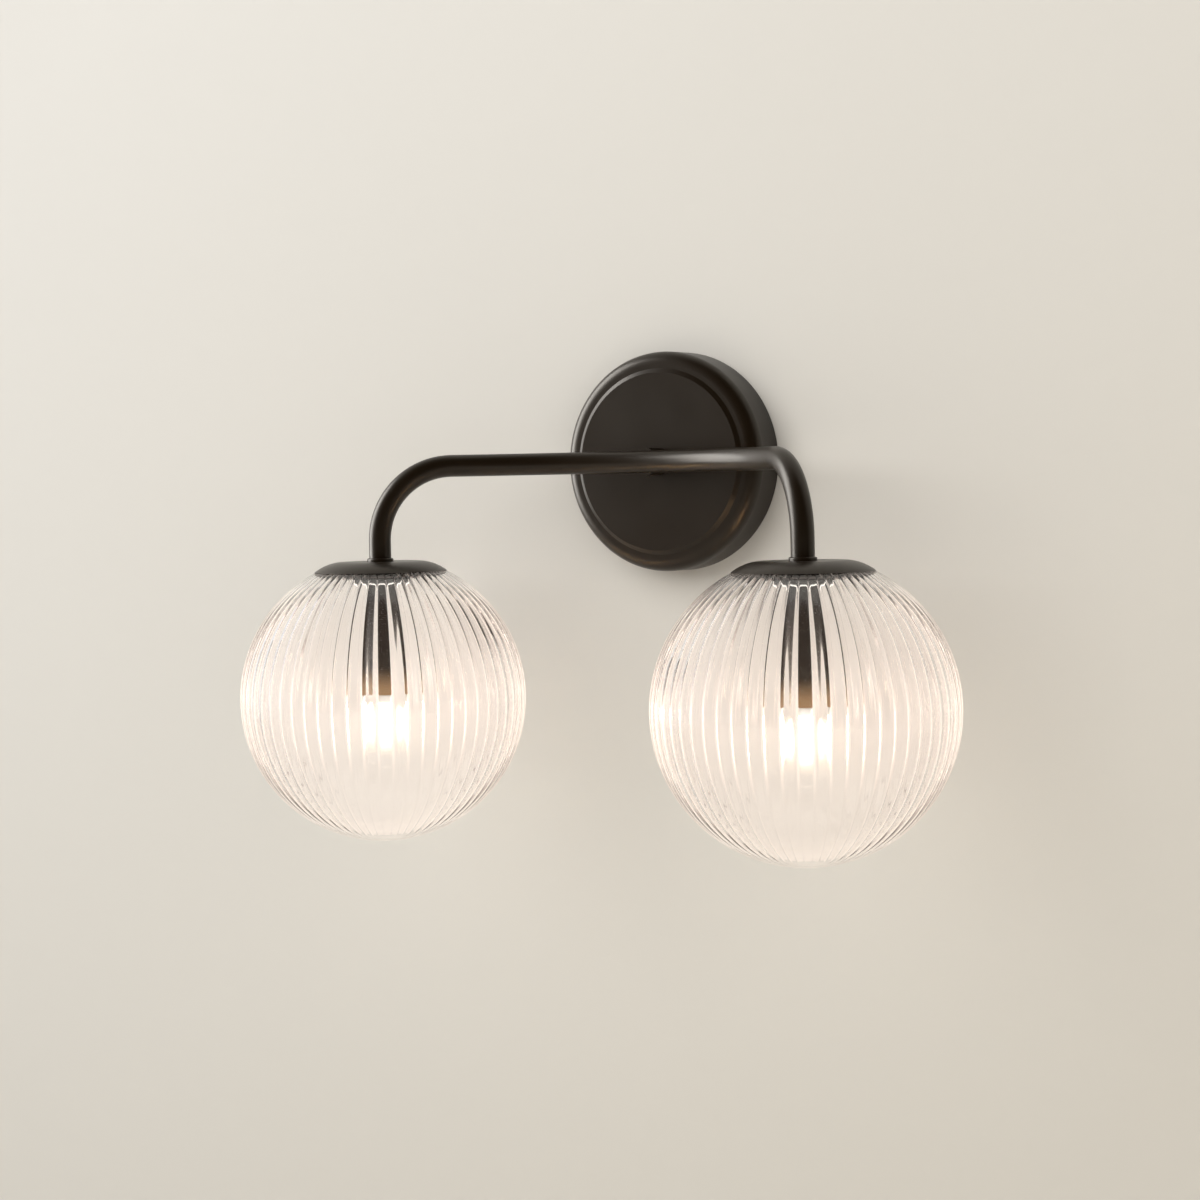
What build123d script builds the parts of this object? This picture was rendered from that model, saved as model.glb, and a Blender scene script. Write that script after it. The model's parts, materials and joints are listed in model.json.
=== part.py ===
from build123d import *
import math
import os

# Double arm wall sconce, in millimetres.
# Origin: centre of the canopy on the wall. +X to the viewer's right, -Y out from the wall, +Z up.
# Pieces on the stem are drawn along +Z as depths from the wall, and then turned to face -Y.
# Pieces under a shade cap are drawn with the middle of the cap's top face at the origin.

# ---------- Driving dimensions ----------

# Arm: one tube, an arc in plan, turned down at both ends
SHADE_SPACING = 256.0
TUBE_DIA = 12.0
TUBE_WALL = 1.0
BAR_STANDOFF = 40.4
ARM_HALF_SWEEP = 44.0
DROP_BEND_RADIUS = 40.0
DROP_STRAIGHT = 11.2

# Canopy: spun shell with a raised disc
CANOPY_DIA = 120.0
CANOPY_WALL = 1.0
CANOPY_DEPTH = 26.4
CANOPY_EDGE_ROUND = 6.8
CANOPY_SHOULDER = 2.4
DISC_STEP = 1.6
DISC_FLANK = 2.3

# Stem and what clamps it to the canopy
STEM_DIA = 15.0
STEM_THREAD_DEPTH = 6.0
NIPPLE_BORE = 7.6
STEM_NIPPLE_LENGTH = 18.4
WASHER_THICK = 1.2
WASHER_DIA = 20.0
HEX_FLATS = 13.6
HEX_CORNER_CUT = 0.5
STEM_NUT_THICK = 5.0

# Wall bracket
BRACKET_THICK = 2.0
BRACKET_WIDTH = 20.0
BRACKET_EAR_WIDTH = 14.0
BRACKET_EAR_DEPTH = 14.0
BOX_SCREW_NEAR = 69.85
BOX_SCREW_FAR = 88.9
BOX_SLOT_WIDTH = 4.8
SIDE_SCREW_DIA = 4.0
SIDE_SCREW_DEPTH = 9.0
SIDE_SCREW_LENGTH = 8.0
SIDE_SCREW_HEAD_DIA = 7.0
SIDE_SCREW_HEAD_THICK = 2.4
EARTH_SCREW_DIA = 4.0
EARTH_SCREW_HEAD_DIA = 7.0
EARTH_SCREW_HEAD_THICK = 2.6
EARTH_SCREW_X = -8.0

# Cross recess screws, as shares of the head's diameter or thickness
HEAD_ROUNDING = 0.45
RECESS_REACH = 0.28
RECESS_WIDTH = 0.14
RECESS_FLOOR = 0.55

# Wiring
LEAD_DIA = 1.6
LEAD_GAP = 3.0
LEAD_PAIR_GAP = 4.0
LEAD_TURN_RADIUS = 6.0
TAG_THICK = 0.8
TAG_RING_WIDTH = 2.6
TAG_TONGUE = 1.4
TAG_BARREL_DIA = 2.8
TAG_BARREL_LENGTH = 6.0
TAG_LEAD_SHORT = 1.0
EARTH_BEND_RADIUS = 8.0
EARTH_LOOP_REACH = 5.0
CONNECTOR_LENGTH = 16.0
CONNECTOR_SKIRT = 2.0
CONNECTOR_MOUTH_DIA = 11.0
CONNECTOR_TIP_DIA = 8.0
CONNECTOR_BORE = 7.0
CONNECTOR_BORE_DEPTH = 12.0
CONNECTOR_LEAD_DEPTH = 9.0
CONNECTOR_OFFSET = 7.5

# Shade cap, collar and hub
CAP_RIM_DIA = 72.0
CAP_TOP_DIA = 46.8
CAP_RISE = 5.33
CAP_WALL = 1.0
CAP_RIM_WALL = 1.1
CAP_FLANK_BULGE = 0.9
COLLAR_WIDTH = 1.15
COLLAR_HEIGHT = 1.9
COLLAR_ROUND = 0.92
HUB_DIA = 27.0
HUB_LENGTH = 11.3
HUB_WEB = 3.0
HUB_BORE = 19.0
CAP_NIPPLE_ENTRY = 10.0
CAP_NIPPLE_TAIL = 1.0
CAP_NUT_THICK = 4.0

# Glass globe and the ring that screws it to the hub
GLOBE_DIA = 155.0
GLASS_WALL = 3.0
SHADE_WASHER_THICK = 1.3
RING_FLANGE_DIA = 42.0
RING_FLANGE_THICK = 1.5
RING_SKIRT = 8.7
RING_WALL = 2.7
RING_LIP_ROUND = 1.4

# Lampholder and its cover
COVER_DIA = 16.0
COVER_WALL = 0.8
COVER_FLANGE_THICK = 1.4
COVER_END_ABOVE_CENTRE = 2.0
HOLDER_RECESS = 0.5
HOLDER_LENGTH = 20.0
HOLDER_COLLAR = 10.0
HOLDER_FLATS = 11.0
STRAP_THICK = 0.8
STRAP_WIDTH = 5.6
STRAP_OVERLAP = 8.5
STRAP_WEB = 1.0
STRAP_SCREW_DIA = 2.5
STRAP_SCREW_HEAD_DIA = 4.0
STRAP_SCREW_LENGTH = 4.0
STRAP_SCREW_INSET = 4.0
PIN_SPACING = 9.0
CONTACT_SHEET = 0.4
CONTACT_DEPTH = 4.4
CONTACT_LENGTH = 6.9
CONTACT_RECESS = 1.5
CONTACT_SLOT_MARGIN = 0.25

# Capsule bulb
BULB_DIA = 15.0
BULB_LENGTH = 26.4
BULB_BASE_LENGTH = 5.0
BULB_BASE_DIA = 14.0
BULB_BASE_ROUND = 0.6
BULB_WALL = 1.0
BULB_BOARD_WIDTH = 9.0
BULB_BOARD_LENGTH = 14.0
BULB_BOARD_THICK = 1.6
PIN_WIRE_DIA = 0.8
PIN_LOOP_WIDTH = 2.6
PIN_LENGTH = 6.0

# Clearances
THREAD_GAP = 0.3
GLASS_GAP = 0.3
BOND_GAP = 0.5
HOLE_GAP = 0.2
BRACKET_GAP = 0.4
HOLDER_GAP = 0.2
PIN_GAP = 0.25
BULB_SEAT_GAP = 0.1

# ---------- Sizes that follow ----------

TUBE_BORE = TUBE_DIA - 2 * TUBE_WALL
NIPPLE_DIA = TUBE_BORE
SWEEP = math.radians(ARM_HALF_SWEEP)
ARM_RADIUS = (SHADE_SPACING / 2 - DROP_BEND_RADIUS * math.cos(SWEEP)) / math.sin(SWEEP)
ARM_CENTRE_Y = -(BAR_STANDOFF + ARM_RADIUS)
SHADE_Y = ARM_CENTRE_Y + ARM_RADIUS * math.cos(SWEEP) - DROP_BEND_RADIUS * math.sin(SWEEP)
CAP_TOP_Z = -(DROP_BEND_RADIUS + DROP_STRAIGHT)

GLOBE_RADIUS = GLOBE_DIA / 2
GLASS_CLEAR_RADIUS = GLOBE_RADIUS + GLASS_GAP
CENTRE_Z = -CAP_RISE - math.sqrt(GLASS_CLEAR_RADIUS ** 2 - (CAP_RIM_DIA / 2) ** 2)
GLASS_TOP_Z = -CAP_WALL - SHADE_WASHER_THICK - RING_FLANGE_THICK
RING_BORE = HUB_DIA + 2 * THREAD_GAP
RING_SKIRT_DIA = RING_BORE + 2 * RING_WALL
COVER_END_Z = CENTRE_Z + COVER_END_ABOVE_CENTRE
COVER_TOP_Z = -CAP_WALL - HUB_LENGTH + COVER_FLANGE_THICK
COVER_BORE = COVER_DIA - 2 * COVER_WALL
HUB_WEB_Z = -CAP_WALL - HUB_WEB
STRAP_Z = HUB_WEB_Z - STRAP_WEB
STRAP_SPAN = HEX_FLATS + HOLE_GAP
HOLDER_END_Z = COVER_END_Z + HOLDER_RECESS
HOLDER_TOP_Z = HOLDER_END_Z + HOLDER_LENGTH
CONTACT_TOP_Z = HOLDER_END_Z + CONTACT_RECESS + CONTACT_LENGTH
BULB_TOP_Z = HOLDER_END_Z - BULB_SEAT_GAP

DISC_BACK = CANOPY_DEPTH - CANOPY_WALL
TAG_SEAT = DISC_BACK - WASHER_THICK
STEM_NUT_FRONT = TAG_SEAT - TAG_THICK
STEM_NIPPLE_FRONT = CANOPY_DEPTH + STEM_THREAD_DEPTH
STEM_NIPPLE_BACK = STEM_NIPPLE_FRONT - STEM_NIPPLE_LENGTH
CONNECTOR_DEPTH = STEM_NIPPLE_BACK - LEAD_TURN_RADIUS
EAR_X = math.sqrt((CANOPY_DIA / 2 - CANOPY_WALL) ** 2 - (BRACKET_EAR_WIDTH / 2) ** 2) - BRACKET_GAP
BOX_SLOT_SPACING = (BOX_SCREW_NEAR + BOX_SCREW_FAR) / 2
BOX_SLOT_LENGTH = (BOX_SCREW_FAR - BOX_SCREW_NEAR) / 2 + BOX_SLOT_WIDTH


# ---------- Helpers ----------

def turned(*edges):
    """A solid turned about Z from a closed outline of (radius, height) edges."""
    return revolve(Plane.XZ * make_face(Wire(edges)), Axis.Z)


def straight(*points):
    """Straight edges through (radius, height) points."""
    return [Edge.make_line((*a, 0), (*b, 0)) for a, b in zip(points, points[1:])]


def bowed(start, middle, end):
    """One arc through three (radius, height) points."""
    return Edge.make_three_point_arc((*start, 0), (*middle, 0), (*end, 0))


def rod(diameter, low, high):
    """A round bar on Z from one height to another."""
    return Pos(0, 0, low) * Cylinder(diameter / 2, high - low, align=(Align.CENTER, Align.CENTER, Align.MIN))


def pipe(outer, bore, low, high):
    """A round tube on Z."""
    return rod(outer, low, high) - rod(bore, low, high)


def block(x, y, z):
    """A box from pairs of low and high values."""
    size = [high - low for low, high in (x, y, z)]
    centre = [(high + low) / 2 for low, high in (x, y, z)]
    return Pos(*centre) * Box(*size)


def hex_nut(flats, bore, low, high):
    """A hexagon nut on Z with its upper edges rounded off."""
    blank = extrude(RegularPolygon(flats / 2, 6, major_radius=False), high - low)
    corner = flats / math.sqrt(3)
    thick = high - low
    crown = turned(*straight((0, 0), (corner, 0), (corner, thick - HEX_CORNER_CUT), (flats / 2, thick),
                             (0, thick), (0, 0)))
    return Pos(0, 0, low) * (blank & crown) - rod(bore, low, high)


def out_from_wall(shape):
    """Turns heights above Z = 0 into depths from the wall."""
    return Rot(90, 0, 0) * shape


def tube_along(diameter, path):
    """A round bar swept along a wire."""
    section = Plane(origin=path @ 0, z_dir=path % 0) * Circle(diameter / 2)
    return sweep(section, path=path)


# ---------- Arm ----------

def arm_point(angle, height):
    """A point of the bar's arc in plan, at an angle from its middle."""
    return Vector(ARM_RADIUS * math.sin(angle), ARM_CENTRE_Y + ARM_RADIUS * math.cos(angle), height)


def half_arm(start_angle, offset, drop):
    """Right half of the arm's path: arc in plan, bend and drop. The offset is above the centre line."""
    ahead = Vector(math.cos(SWEEP), -math.sin(SWEEP), 0)
    radius = DROP_BEND_RADIUS + offset
    corner = arm_point(SWEEP, -DROP_BEND_RADIUS)
    start = arm_point(start_angle, offset)
    bar_end = arm_point(SWEEP, offset)
    halfway = corner + ahead * (radius * math.sin(math.pi / 4)) + Vector(0, 0, radius * math.cos(math.pi / 4))
    foot = corner + ahead * radius
    bar = Edge.make_three_point_arc(start, arm_point((start_angle + SWEEP) / 2, offset), bar_end)
    bend = Edge.make_three_point_arc(bar_end, halfway, foot)
    return [bar, bend, Edge.make_line(foot, foot - Vector(0, 0, drop))]


def arm_solid(diameter):
    """The whole arm as a solid bar of one diameter."""
    right = Wire(half_arm(0, 0, DROP_STRAIGHT))
    half = tube_along(diameter, right)
    return half + half.mirror(Plane.YZ)


def arm_tube():
    lead_hole = out_from_wall(rod(NIPPLE_BORE, CANOPY_DEPTH, BAR_STANDOFF))
    return arm_solid(TUBE_DIA) - arm_solid(TUBE_BORE) - lead_hole


def stem_tube():
    blank = rod(STEM_DIA, CANOPY_DEPTH, BAR_STANDOFF)
    blank -= rod(NIPPLE_DIA, CANOPY_DEPTH, STEM_NIPPLE_FRONT)
    blank -= rod(NIPPLE_BORE, STEM_NIPPLE_FRONT, BAR_STANDOFF)
    return out_from_wall(blank) - arm_solid(TUBE_DIA)


# ---------- Canopy and wall bracket ----------

def canopy_form(inset):
    """The canopy's outer form, drawn in by a sheet thickness all over but open at the wall."""
    side = CANOPY_DIA / 2 - inset
    front = CANOPY_DEPTH - inset
    shoulder = front - DISC_STEP
    edge = CANOPY_EDGE_ROUND - inset
    shoulder_out = side - edge
    step = shoulder_out - CANOPY_SHOULDER - inset
    disc = step - DISC_FLANK
    lean = edge * math.sin(math.pi / 4)
    side_end = shoulder - edge
    corner = bowed((side, side_end), (shoulder_out + lean, side_end + lean), (shoulder_out, shoulder))
    face = straight((shoulder_out, shoulder), (step, shoulder), (disc, front), (0, front), (0, 0))
    return turned(*straight((0, 0), (side, 0), (side, side_end)), corner, *face)


def canopy_shell():
    shell = canopy_form(0) - canopy_form(CANOPY_WALL)
    shell -= rod(NIPPLE_DIA + 2 * HOLE_GAP, DISC_BACK, CANOPY_DEPTH)
    hole = rod(SIDE_SCREW_DIA + 2 * HOLE_GAP, -CANOPY_DIA, CANOPY_DIA)
    return out_from_wall(shell - Pos(0, 0, SIDE_SCREW_DEPTH) * Rot(0, 90, 0) * hole)


def wall_bracket():
    room = rod(CANOPY_DIA - 2 * CANOPY_WALL - 2 * BRACKET_GAP, 0, BRACKET_EAR_DEPTH)
    strap = block((-EAR_X, EAR_X), (-BRACKET_WIDTH / 2, BRACKET_WIDTH / 2), (0, BRACKET_THICK)) & room
    ear_y = (-BRACKET_EAR_WIDTH / 2, BRACKET_EAR_WIDTH / 2)
    for side in (-1, 1):
        near, far = sorted((side * (EAR_X - BRACKET_THICK), side * EAR_X))
        strap += block((near, far), ear_y, (0, BRACKET_EAR_DEPTH))
        slot = extrude(SlotOverall(BOX_SLOT_LENGTH, BOX_SLOT_WIDTH), BRACKET_THICK)
        strap -= Pos(side * BOX_SLOT_SPACING / 2, 0, 0) * slot
    strap -= Pos(0, 0, SIDE_SCREW_DEPTH) * Rot(0, 90, 0) * rod(SIDE_SCREW_DIA, -EAR_X, EAR_X)
    return out_from_wall(strap - Pos(EARTH_SCREW_X, 0, 0) * rod(EARTH_SCREW_DIA, 0, BRACKET_THICK))


def round_head_screw(diameter, length, head_diameter, head_thick):
    """A pan head screw with a cross recess: head above Z = 0, shank below."""
    upper_edge = rod(head_diameter, 0, head_thick).edges().sort_by(Axis.Z)[-1]
    head = fillet(upper_edge, head_thick * HEAD_ROUNDING)
    screw = head + rod(diameter, -length, 0)
    reach = head_diameter * RECESS_REACH
    half = head_diameter * RECESS_WIDTH / 2
    for turn in (0, 90):
        bar = block((-reach, reach), (-half, half), (head_thick * RECESS_FLOOR, head_thick))
        screw -= Rot(0, 0, turn) * bar
    return screw


def canopy_side_screws():
    screw = round_head_screw(SIDE_SCREW_DIA, SIDE_SCREW_LENGTH, SIDE_SCREW_HEAD_DIA, SIDE_SCREW_HEAD_THICK)
    placed = Pos(CANOPY_DIA / 2, -SIDE_SCREW_DEPTH, 0) * Rot(0, 90, 0) * screw
    return [placed, placed.mirror(Plane.YZ)]


def earth_screw():
    seat = BRACKET_THICK + TAG_THICK
    screw = round_head_screw(EARTH_SCREW_DIA, seat, EARTH_SCREW_HEAD_DIA, EARTH_SCREW_HEAD_THICK)
    return out_from_wall(Pos(EARTH_SCREW_X, 0, seat) * screw)


# ---------- Wiring ----------

def ring_tag(hole):
    """A crimped ring tag flat on Z = 0, with its barrel pointing to -X."""
    ring = hole / 2 + TAG_RING_WIDTH
    start = ring + TAG_TONGUE
    middle = TAG_THICK + LEAD_DIA / 2
    barrel = Pos(-start, 0, middle) * Rot(0, -90, 0) * rod(TAG_BARREL_DIA, 0, TAG_BARREL_LENGTH)
    bore = Pos(-start, 0, middle) * Rot(0, -90, 0) * rod(LEAD_DIA, 0, TAG_BARREL_LENGTH)
    half = TAG_BARREL_DIA / 2
    tongue = block((-start - TAG_BARREL_LENGTH / 2, 0), (-half, half), (0, TAG_THICK))
    plate = rod(2 * ring, 0, TAG_THICK) + tongue
    return plate + barrel - bore - rod(hole, 0, TAG_THICK)


def tag_barrel_middle(hole):
    """How far from the ring's centre a lead ends inside the barrel."""
    return hole / 2 + TAG_RING_WIDTH + TAG_TONGUE + TAG_LEAD_SHORT


def nipple_earth_tag():
    tag = Rot(180, 0, 0) * ring_tag(NIPPLE_DIA + 2 * HOLE_GAP)
    return out_from_wall(Pos(0, 0, TAG_SEAT) * tag)


def bracket_earth_tag():
    return out_from_wall(Pos(EARTH_SCREW_X, 0, BRACKET_THICK) * ring_tag(EARTH_SCREW_DIA))


def earth_lead():
    """A U-shaped lead from the stem's tag back to the bracket's tag, level with the stem."""
    front = TAG_SEAT - TAG_THICK - LEAD_DIA / 2
    back = BRACKET_THICK + TAG_THICK + LEAD_DIA / 2
    bend = EARTH_BEND_RADIUS
    lean = bend * math.sin(math.pi / 4)
    start = -tag_barrel_middle(NIPPLE_DIA + 2 * HOLE_GAP)
    end = EARTH_SCREW_X - tag_barrel_middle(EARTH_SCREW_DIA)
    turn = start - TAG_BARREL_LENGTH - EARTH_LOOP_REACH
    far = turn - bend
    points = [(start, front), (turn, front), (far, front - bend)]
    points += [(far, back + bend), (turn, back), (end, back)]
    line = [Vector(x, -depth, 0) for x, depth in points]
    first = Vector(turn - lean, -(front - bend + lean), 0)
    second = Vector(turn - lean, -(back + bend - lean), 0)
    path = [Edge.make_line(line[0], line[1]), Edge.make_three_point_arc(line[1], first, line[2]),
            Edge.make_line(line[2], line[3]), Edge.make_three_point_arc(line[3], second, line[4]),
            Edge.make_line(line[4], line[5])]
    return tube_along(LEAD_DIA, Wire(path))


def lamp_lead(offset):
    """A right-hand lead: connector, stem, arm and lampholder contact. The live one is the upper."""
    up = math.copysign(1, offset)
    side = LEAD_PAIR_GAP / 2
    bend = LEAD_TURN_RADIUS
    lean = bend * math.sin(math.pi / 4)
    end = Vector(side, -CONNECTOR_DEPTH, offset + up * (CONNECTOR_OFFSET + bend + CONNECTOR_LEAD_DEPTH))
    rise = Vector(side, -CONNECTOR_DEPTH, offset + up * bend)
    knee = Vector(side, -CONNECTOR_DEPTH - bend + lean, offset + up * (bend - lean))
    level = Vector(side, -STEM_NIPPLE_BACK, offset)
    turn_y = ARM_CENTRE_Y + math.sqrt((ARM_RADIUS + bend) ** 2 - (side + bend) ** 2)
    angle = math.asin((side + bend) / (ARM_RADIUS + bend))
    joins_bar = arm_point(angle, offset)
    half_turn = (math.pi / 2 - angle) / 2
    elbow = Vector(side + bend - bend * math.cos(half_turn), turn_y - bend * math.sin(half_turn), offset)
    path = [Edge.make_line(end, rise), Edge.make_three_point_arc(rise, knee, level),
            Edge.make_line(level, Vector(side, turn_y, offset)),
            Edge.make_three_point_arc(Vector(side, turn_y, offset), elbow, joins_bar)]
    swing = (PIN_SPACING - LEAD_GAP) / 2
    shift = math.acos(1 - swing / (2 * bend))
    swing_height = 2 * bend * math.sin(shift)
    bend_foot = DROP_STRAIGHT - HUB_WEB_Z + HUB_LENGTH
    path += half_arm(angle, offset, bend_foot)
    out = Vector(math.cos(SWEEP), -math.sin(SWEEP), 0) * up
    top = path[-1] @ 1
    down = Vector(0, 0, -1)
    first = top + out * (bend * (1 - math.cos(shift / 2))) + down * (bend * math.sin(shift / 2))
    middle = top + out * (swing / 2) + down * (swing_height / 2)
    second = top + out * (swing - bend * (1 - math.cos(shift / 2)))
    second += down * (swing_height - bend * math.sin(shift / 2))
    bottom = top + out * swing + down * swing_height
    foot = Vector(bottom.X, bottom.Y, CAP_TOP_Z + CONTACT_TOP_Z)
    path += [Edge.make_three_point_arc(top, first, middle), Edge.make_three_point_arc(middle, second, bottom),
             Edge.make_line(bottom, foot)]
    return tube_along(LEAD_DIA, Wire(path))


def wire_connector(up):
    """A closed-end connector standing up or hanging down behind the stem."""
    tip, mouth_side = CONNECTOR_TIP_DIA / 2, CONNECTOR_MOUTH_DIA / 2
    outline = straight((0, CONNECTOR_LENGTH), (tip, CONNECTOR_LENGTH), (mouth_side, CONNECTOR_SKIRT),
                       (mouth_side, 0), (0, 0), (0, CONNECTOR_LENGTH))
    body = turned(*outline) - rod(CONNECTOR_BORE, 0, CONNECTOR_BORE_DEPTH)
    mouth = LEAD_GAP / 2 + LEAD_TURN_RADIUS + CONNECTOR_OFFSET
    turn = 0 if up else 180
    return Pos(0, -CONNECTOR_DEPTH, 0) * Rot(turn, 0, 0) * Pos(0, 0, mouth) * body


# ---------- Shade fitting: origin in the middle of the cap's top face ----------

def collar():
    ring = pipe(TUBE_DIA + 2 * COLLAR_WIDTH, TUBE_DIA, 0, COLLAR_HEIGHT)
    outer = ring.edges().filter_by(GeomType.CIRCLE).group_by(SortBy.RADIUS)[-1].sort_by(Axis.Z)[-1]
    return fillet(outer, COLLAR_ROUND)


def flank(low, high):
    """The cap's flank between two (radius, height) points, bulging up and out."""
    run = (low[0] - high[0], low[1] - high[1])
    length = math.hypot(*run)
    middle = ((low[0] + high[0]) / 2 - run[1] / length * CAP_FLANK_BULGE,
              (low[1] + high[1]) / 2 + run[0] / length * CAP_FLANK_BULGE)
    return bowed(low, middle, high)


def shade_cap():
    """Spun cap: flat top, a crease, a bulging flank and a rim that follows the glass."""
    rim = CAP_RIM_DIA / 2
    rim_in = rim - CAP_RIM_WALL
    top = CAP_TOP_DIA / 2
    top_in = top - CAP_WALL / 2
    rim_z = CENTRE_Z + math.sqrt(GLASS_CLEAR_RADIUS ** 2 - rim ** 2)
    rim_in_z = CENTRE_Z + math.sqrt(GLASS_CLEAR_RADIUS ** 2 - rim_in ** 2)
    outside = flank((rim, rim_z), (top, 0))
    inside = flank((rim_in, rim_in_z), (top_in, -CAP_WALL))
    hole = NIPPLE_DIA / 2
    upper = straight((top, 0), (hole, 0), (hole, -CAP_WALL), (top_in, -CAP_WALL))
    return turned(outside, *upper, inside, *straight((rim_in, rim_in_z), (rim, rim_z)))


def shade_hub():
    cup = pipe(HUB_DIA, HUB_BORE, -CAP_WALL - HUB_LENGTH, HUB_WEB_Z)
    return cup + pipe(HUB_DIA, NIPPLE_DIA, HUB_WEB_Z, -CAP_WALL)


def cap_nipple():
    return pipe(NIPPLE_DIA, NIPPLE_BORE, STRAP_Z - CAP_NUT_THICK - CAP_NIPPLE_TAIL, CAP_NIPPLE_ENTRY)


def cap_nut():
    nut = hex_nut(HEX_FLATS, NIPPLE_DIA, 0, CAP_NUT_THICK)
    return Pos(0, 0, STRAP_Z) * Rot(180, 0, 0) * nut


def strap_screw():
    """Countersunk screw along +Y, head flush with the strap's outer face."""
    head, shank = STRAP_SCREW_HEAD_DIA / 2, STRAP_SCREW_DIA / 2
    cone = straight((0, 0), (head, 0), (shank, -STRAP_THICK), (shank, -STRAP_SCREW_LENGTH),
                    (0, -STRAP_SCREW_LENGTH), (0, 0))
    height = HOLDER_TOP_Z - STRAP_SCREW_INSET
    return Pos(0, HOLDER_FLATS / 2 + STRAP_THICK, height) * Rot(-90, 0, 0) * turned(*cone)


def strap_screws():
    return [strap_screw(), Rot(0, 0, 180) * strap_screw()]


def holder_strap():
    """Web over the nut, with two legs that pass the nut and step in to enter the cover."""
    strap = rod(HUB_BORE - 2 * HOLDER_GAP, STRAP_Z, HUB_WEB_Z)
    width = (-STRAP_WIDTH / 2, STRAP_WIDTH / 2)
    inner, outer = HOLDER_FLATS / 2, STRAP_SPAN / 2
    step_low = COVER_TOP_Z + HOLDER_GAP
    step_high = step_low + STRAP_THICK
    leg = block(width, (outer, outer + STRAP_THICK), (step_low, STRAP_Z))
    leg += block(width, (inner, outer + STRAP_THICK), (step_low, step_high))
    leg += block(width, (inner, inner + STRAP_THICK), (HOLDER_TOP_Z - STRAP_OVERLAP, step_high))
    strap += leg + Rot(0, 0, 180) * leg
    strap -= rod(NIPPLE_DIA, STRAP_Z, HUB_WEB_Z)
    for screw in strap_screws():
        strap -= screw
    return strap


def socket_cover():
    """Tube with a flange at its top, pressed into the hub's mouth."""
    flange = pipe(HUB_BORE, COVER_BORE, COVER_TOP_Z - COVER_FLANGE_THICK, COVER_TOP_Z)
    return pipe(COVER_DIA, COVER_BORE, COVER_END_Z, COVER_TOP_Z) + flange


def lampholder():
    """Ceramic holder: round below, with two flats for the strap above."""
    body = rod(COVER_BORE - 2 * HOLDER_GAP, HOLDER_END_Z, HOLDER_TOP_Z)
    reach = COVER_DIA
    for side in (-1, 1):
        near, far = sorted((side * HOLDER_FLATS / 2, side * reach))
        body -= block((-reach, reach), (near, far), (HOLDER_END_Z + HOLDER_COLLAR, HOLDER_TOP_Z))
        width = PIN_WIRE_DIA / 2 + PIN_GAP + CONTACT_SHEET + CONTACT_SLOT_MARGIN
        deep = CONTACT_DEPTH / 2 + CONTACT_SLOT_MARGIN
        x = side * PIN_SPACING / 2
        body -= block((x - width, x + width), (-deep, deep), (HOLDER_END_Z, CONTACT_TOP_Z + HOLE_GAP))
        body -= Pos(x, 0, 0) * rod(LEAD_DIA + 2 * HOLE_GAP, CONTACT_TOP_Z, HOLDER_TOP_Z)
    for screw in strap_screws():
        body -= screw
    return body


def holder_contacts():
    """Two folded spring clips, one round each pin."""
    inner = PIN_WIRE_DIA / 2 + PIN_GAP
    outer = inner + CONTACT_SHEET
    deep = (-CONTACT_DEPTH / 2, CONTACT_DEPTH / 2)
    low = CONTACT_TOP_Z - CONTACT_LENGTH
    clip = block((-outer, outer), deep, (low, CONTACT_TOP_Z))
    clip -= block((-inner, inner), deep, (low, CONTACT_TOP_Z - CONTACT_SHEET))
    return [Pos(side * PIN_SPACING / 2, 0, 0) * clip for side in (-1, 1)]


def bulb_base():
    base = rod(BULB_BASE_DIA, BULB_TOP_Z - BULB_BASE_LENGTH, BULB_TOP_Z)
    return fillet(base.edges().sort_by(Axis.Z)[-1], BULB_BASE_ROUND)


def bulb_pins():
    """Two wire loops standing up from the base."""
    half = (PIN_LOOP_WIDTH - PIN_WIRE_DIA) / 2
    low, high = BULB_TOP_Z, BULB_TOP_Z + PIN_LENGTH - half - PIN_WIRE_DIA / 2
    path = Wire([Edge.make_line((0, -half, low), (0, -half, high)),
                 Edge.make_three_point_arc((0, -half, high), (0, 0, high + half), (0, half, high)),
                 Edge.make_line((0, half, high), (0, half, low))])
    loop = tube_along(PIN_WIRE_DIA, path)
    return [Pos(side * PIN_SPACING / 2, 0, 0) * loop for side in (-1, 1)]


def capsule(inset):
    """The bulb's envelope as a round-ended plug."""
    radius = BULB_DIA / 2 - inset
    top = BULB_TOP_Z - BULB_BASE_LENGTH
    shoulder = BULB_TOP_Z - BULB_LENGTH + BULB_DIA / 2
    lean = radius * math.sin(math.pi / 4)
    dome = bowed((radius, shoulder), (lean, shoulder - lean), (0, shoulder - radius))
    return turned(*straight((0, shoulder - radius), (0, top), (radius, top), (radius, shoulder)), dome)


def bulb_envelope():
    return capsule(0) - capsule(BULB_WALL)


def bulb_board():
    top = BULB_TOP_Z - BULB_BASE_LENGTH
    half = BULB_BOARD_WIDTH / 2
    thick = BULB_BOARD_THICK / 2
    return block((-half, half), (-thick, thick), (top - BULB_BOARD_LENGTH, top))


def shade_washer():
    return pipe(RING_FLANGE_DIA, RING_BORE, -CAP_WALL - SHADE_WASHER_THICK, -CAP_WALL)


def shade_ring():
    """Flanged ring bonded in the glass mouth and threaded on the hub."""
    skirt = rod(RING_SKIRT_DIA, GLASS_TOP_Z - RING_SKIRT, GLASS_TOP_Z)
    skirt = fillet(skirt.edges().sort_by(Axis.Z)[0], RING_LIP_ROUND)
    ring = skirt + rod(RING_FLANGE_DIA, GLASS_TOP_Z, GLASS_TOP_Z + RING_FLANGE_THICK)
    return ring - rod(RING_BORE, GLASS_TOP_Z - RING_SKIRT, GLASS_TOP_Z + RING_FLANGE_THICK)


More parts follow.
